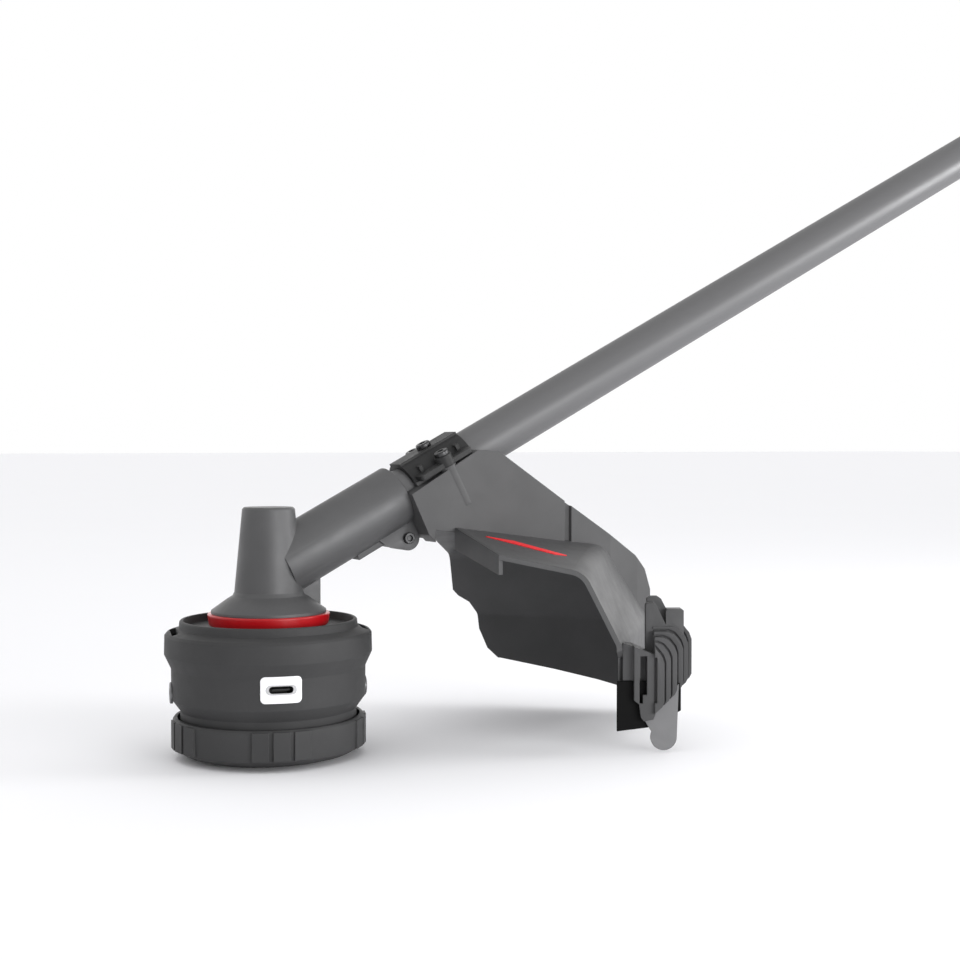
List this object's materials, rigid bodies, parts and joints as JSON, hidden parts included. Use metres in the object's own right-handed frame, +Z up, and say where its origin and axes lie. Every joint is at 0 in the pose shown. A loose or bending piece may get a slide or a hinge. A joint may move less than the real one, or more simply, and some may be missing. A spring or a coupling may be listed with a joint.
{
  "type": "string trimmer",
  "caption": "Cordless straight-shaft string trimmer with a bump-feed head, bevel gear case, faceted guard with line cutter, loop handle and rear motor with battery",
  "frame": {"origin": "centre of the flat wear face under the bump knob, on the head's spin axis", "axes": "+Z up along the head's spin axis, the shaft rises towards +X in the plane Y = 0, the charging port faces -Y"},
  "size_m": [1.435, 0.202, 0.8447],
  "materials": {
    "head_plastic": "moulded, fine matte grain",
    "knob_plastic": "moulded, scuffed on the wear face",
    "collar_red": "satin moulded seal",
    "badge_red": "printed foil",
    "case_metal": "dark grey coated casting",
    "tube_coat": "satin graphite powder coat",
    "guard_plastic": "moulded, light grain",
    "tongue_plastic": "smooth lighter grey",
    "clamp_plastic": "glass-filled black",
    "blade_steel": "blackened",
    "steel": "machined and ground",
    "black_screws": "black oxide",
    "eyelet_metal": "anodised dark",
    "port_white": "smooth white",
    "port_metal": "drawn and plated",
    "port_black": "liquid-crystal polymer",
    "board_green": "solder mask",
    "spool_plastic": "nylon",
    "line_nylon": "extruded nylon line",
    "handle_coat": "black powder coat",
    "grip_rubber": "textured soft grip",
    "knob_black": "glass-filled nylon",
    "rear_plastic": "moulded, light grain",
    "control_red": "satin",
    "battery_plastic": "moulded",
    "stator_iron": "stacked laminations",
    "copper": "enamelled copper wire",
    "rotor_iron": "coated magnet rotor",
    "fan_plastic": "moulded",
    "contacts": "plated blades in a black block"
  },
  "bodies": {
    "frame": {"gear_case": "case_metal", "gear_case_cap": "black_screws", "red_collar": "collar_red", "spindle_bearings": "steel", "pinion_bearings": "steel", "pinch_bolt": "black_screws", "guard": "guard_plastic", "guard_clamp": "clamp_plastic", "clamp_screws": "black_screws", "blade_holder": "guard_plastic", "cutter_tongue": "tongue_plastic", "line_cutter_blade": "blade_steel", "deck_badge": "badge_red", "shaft_tube": "tube_coat", "shaft_bushings": "spool_plastic", "strap_hanger": "clamp_plastic", "strap_screw": "black_screws", "rear_case_left": "rear_plastic", "rear_case_right": "rear_plastic", "grip_overmold": "grip_rubber", "trigger_pin": "steel", "lock_pin": "steel", "motor_stator": "stator_iron", "motor_windings": "copper", "motor_bearings": "steel", "control_board": "board_green", "battery_terminals": "contacts", "case_screws": "black_screws"},
    "head": {"head_housing": "head_plastic", "line_eyelets": "eyelet_metal", "port_plate": "port_white", "port_shell": "port_metal", "port_tongue": "port_black", "port_board": "board_green", "head_nut": "steel", "spindle": "steel", "bevel_gear": "steel"},
    "winder": {"arbor_hub": "spool_plastic"},
    "reel": {"bump_knob": "knob_plastic", "spool": "spool_plastic", "wound_line": "line_nylon", "bump_spring": "steel"},
    "drive": {"pinion": "steel", "drive_shaft": "steel", "motor_rotor": "rotor_iron", "motor_fan": "fan_plastic"},
    "throttle": {"trigger": "control_red", "trigger_spring": "steel"},
    "lock_off": {"lock_lever": "control_red"},
    "button": {"speed_button": "control_red"},
    "battery": {"battery_case": "battery_plastic"},
    "latch_left": {"latch_button_left": "control_red"},
    "latch_right": {"latch_button_right": "control_red"},
    "handle": {"front_handle": "handle_coat", "handle_grip": "grip_rubber", "handle_bracket_lower": "clamp_plastic", "handle_bracket_upper": "clamp_plastic", "handle_cap": "clamp_plastic", "handle_bolts": "black_screws"},
    "knob": {"handle_knob": "knob_black"}
  },
  "joints": [
    {"name": "head_spin", "type": "hinge", "parent": "frame", "child": "head", "pos_m": [0, 0, 0.08], "axis": [0, 0, 1], "continuous": true},
    {"name": "line_wind", "type": "hinge", "parent": "head", "child": "winder", "pos_m": [0, 0, 0.028], "axis": [0, 0, 1], "continuous": true},
    {"name": "bump_feed", "type": "slide", "parent": "winder", "child": "reel", "axis": [0, 0, 1], "range_m": [0, 0.004], "stiffness_N_per_m": 800, "springref_m": -0.008, "deforming": ["bump_spring"]},
    {"name": "drive_spin", "type": "hinge", "parent": "frame", "child": "drive", "pos_m": [0.62046, 0, 0.42014], "axis": [0.8864, 0, 0.463], "continuous": true},
    {"name": "trigger_pull", "type": "hinge", "parent": "frame", "child": "throttle", "pos_m": [1.06071, 0, 0.63995], "axis": [0, -1, 0], "range_deg": [0, 10], "stiffness_Nm_per_rad": 0.4, "springref_deg": -14.32, "deforming": ["trigger_spring"]},
    {"name": "lock_press", "type": "hinge", "parent": "frame", "child": "lock_off", "pos_m": [1.10325, 0, 0.68812], "axis": [0, -1, 0], "range_deg": [0, 7], "stiffness_Nm_per_rad": 0.3, "springref_deg": -14.32},
    {"name": "speed_press", "type": "slide", "parent": "frame", "child": "button", "axis": [0.463, 0, -0.8864], "range_m": [0, 0.0015], "stiffness_N_per_m": 600, "springref_m": -0.002},
    {"name": "battery_slide", "type": "slide", "parent": "frame", "child": "battery", "axis": [0.8864, 0, 0.463], "range_m": [0, 0.06]},
    {"name": "latch_left_press", "type": "slide", "parent": "battery", "child": "latch_left", "axis": [0, -1, 0], "range_m": [0, 0.002], "stiffness_N_per_m": 900, "springref_m": -0.002},
    {"name": "latch_right_press", "type": "slide", "parent": "battery", "child": "latch_right", "axis": [0, 1, 0], "range_m": [0, 0.002], "stiffness_N_per_m": 900, "springref_m": -0.002},
    {"name": "handle_slide", "type": "slide", "parent": "frame", "child": "handle", "axis": [0.8864, 0, 0.463], "range_m": [-0.06, 0.06]},
    {"name": "knob_turn", "type": "hinge", "parent": "handle", "child": "knob", "pos_m": [0.81115, 0, 0.48703], "axis": [-0.463, 0, 0.8864], "continuous": true}
  ],
  "couplings": [
    {"joint": "drive_spin", "follows": "head_spin", "ratio": -1.2857}
  ]
}
